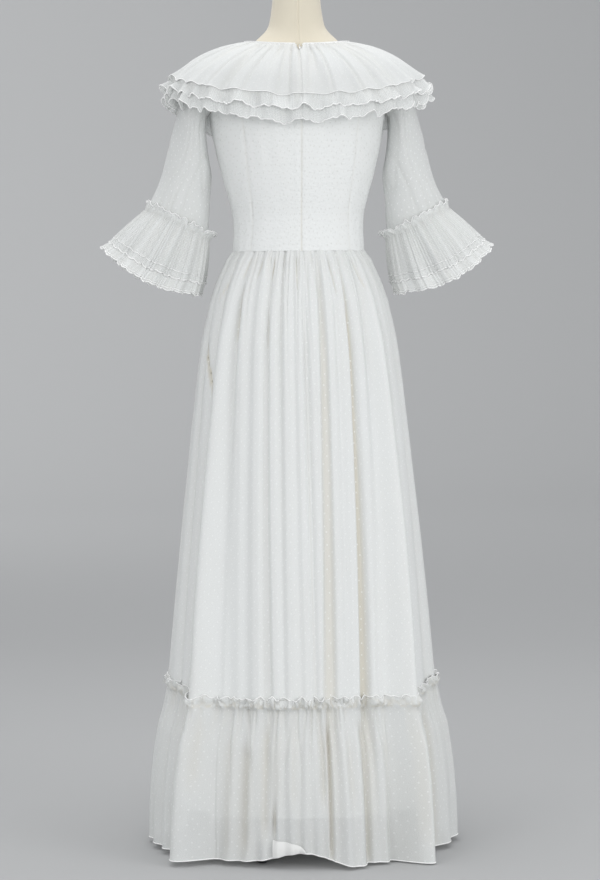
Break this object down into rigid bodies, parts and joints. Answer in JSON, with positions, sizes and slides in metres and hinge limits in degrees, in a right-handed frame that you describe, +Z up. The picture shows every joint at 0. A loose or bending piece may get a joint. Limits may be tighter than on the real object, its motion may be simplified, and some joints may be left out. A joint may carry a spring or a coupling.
{
  "type": "gown on a dress form",
  "caption": "Full-length white dotted chiffon gown with a gathered bertha collar, frilled elbow cuffs and a flounced hem, worn by a limbless dress form on a caster stand.",
  "frame": {"origin": "middle of the footprint, on the floor", "axes": "+Z up the pole, the wearer faces -Y and the zip at the back faces +Y"},
  "size_m": [0.701, 0.5136, 1.5223],
  "materials": {
    "dotted_chiffon": "sheer, with a woven dot",
    "neck_satin": "satin weave binding",
    "lining_cloth": "matte plain weave",
    "form_jersey": "matte knit cover",
    "stand_steel": "satin grey paint",
    "caster_rubber": "matte",
    "zip_metal": "satin"
  },
  "bodies": {
    "gown_and_form": {"bodice_front": "dotted_chiffon", "bodice_back_left": "dotted_chiffon", "bodice_back_right": "dotted_chiffon", "bodice_side_back_left": "dotted_chiffon", "bodice_side_back_right": "dotted_chiffon", "bodice_side_front_left": "dotted_chiffon", "bodice_side_front_right": "dotted_chiffon", "skirt_front": "dotted_chiffon", "skirt_back_left": "dotted_chiffon", "skirt_back_right": "dotted_chiffon", "flounce_front": "dotted_chiffon", "flounce_back_left": "dotted_chiffon", "flounce_back_right": "dotted_chiffon", "collar_ruffle": "dotted_chiffon", "collar_frill_upper": "dotted_chiffon", "collar_frill_lower": "dotted_chiffon", "sleeve_left": "dotted_chiffon", "sleeve_right": "dotted_chiffon", "cuff_ruffle_left": "dotted_chiffon", "cuff_ruffle_right": "dotted_chiffon", "cuff_underfrill_left": "dotted_chiffon", "cuff_underfrill_right": "dotted_chiffon", "neck_binding": "neck_satin", "lining_front": "lining_cloth", "lining_back_left": "lining_cloth", "lining_back_right": "lining_cloth", "form_torso": "form_jersey", "form_neck_cap": "form_jersey", "stand_pole": "stand_steel", "stand_hub": "stand_steel", "stand_leg_1": "stand_steel", "stand_leg_2": "stand_steel", "stand_leg_3": "stand_steel", "stand_leg_4": "stand_steel", "zip_slider": "zip_metal"},
    "zip_pull": {"zip_pull": "zip_metal"},
    "caster_1": {"caster_fork_1": "stand_steel"},
    "wheel_1": {"caster_wheel_1": "caster_rubber"},
    "caster_2": {"caster_fork_2": "stand_steel"},
    "wheel_2": {"caster_wheel_2": "caster_rubber"},
    "caster_3": {"caster_fork_3": "stand_steel"},
    "wheel_3": {"caster_wheel_3": "caster_rubber"},
    "caster_4": {"caster_fork_4": "stand_steel"},
    "wheel_4": {"caster_wheel_4": "caster_rubber"}
  },
  "joints": [
    {"name": "zip_pull_flip", "type": "hinge", "parent": "gown_and_form", "child": "zip_pull", "pos_m": [0, 0.05573, 1.41335], "axis": [1, 0, 0], "range_deg": [0, 130]},
    {"name": "caster_1_swivel", "type": "hinge", "parent": "gown_and_form", "child": "caster_1", "pos_m": [0.07931, 0.16662, 0.0577], "axis": [0, 0, 1], "continuous": true},
    {"name": "wheel_1_roll", "type": "hinge", "parent": "caster_1", "child": "wheel_1", "pos_m": [0.08419, 0.17759, 0.01685], "axis": [0.9135, -0.4067, 0], "continuous": true},
    {"name": "caster_2_swivel", "type": "hinge", "parent": "gown_and_form", "child": "caster_2", "pos_m": [-0.17814, 0.0678, 0.0577], "axis": [0, 0, 1], "continuous": true},
    {"name": "wheel_2_roll", "type": "hinge", "parent": "caster_2", "child": "wheel_2", "pos_m": [-0.1891, 0.07268, 0.01685], "axis": [0.4067, 0.9135, 0], "continuous": true},
    {"name": "caster_3_swivel", "type": "hinge", "parent": "gown_and_form", "child": "caster_3", "pos_m": [-0.07931, -0.18966, 0.0577], "axis": [0, 0, 1], "continuous": true},
    {"name": "wheel_3_roll", "type": "hinge", "parent": "caster_3", "child": "wheel_3", "pos_m": [-0.08419, -0.20062, 0.01685], "axis": [-0.9135, 0.4067, 0], "continuous": true},
    {"name": "caster_4_swivel", "type": "hinge", "parent": "gown_and_form", "child": "caster_4", "pos_m": [0.17814, -0.09083, 0.0577], "axis": [0, 0, 1], "continuous": true},
    {"name": "wheel_4_roll", "type": "hinge", "parent": "caster_4", "child": "wheel_4", "pos_m": [0.1891, -0.09571, 0.01685], "axis": [-0.4067, -0.9135, 0], "continuous": true}
  ]
}
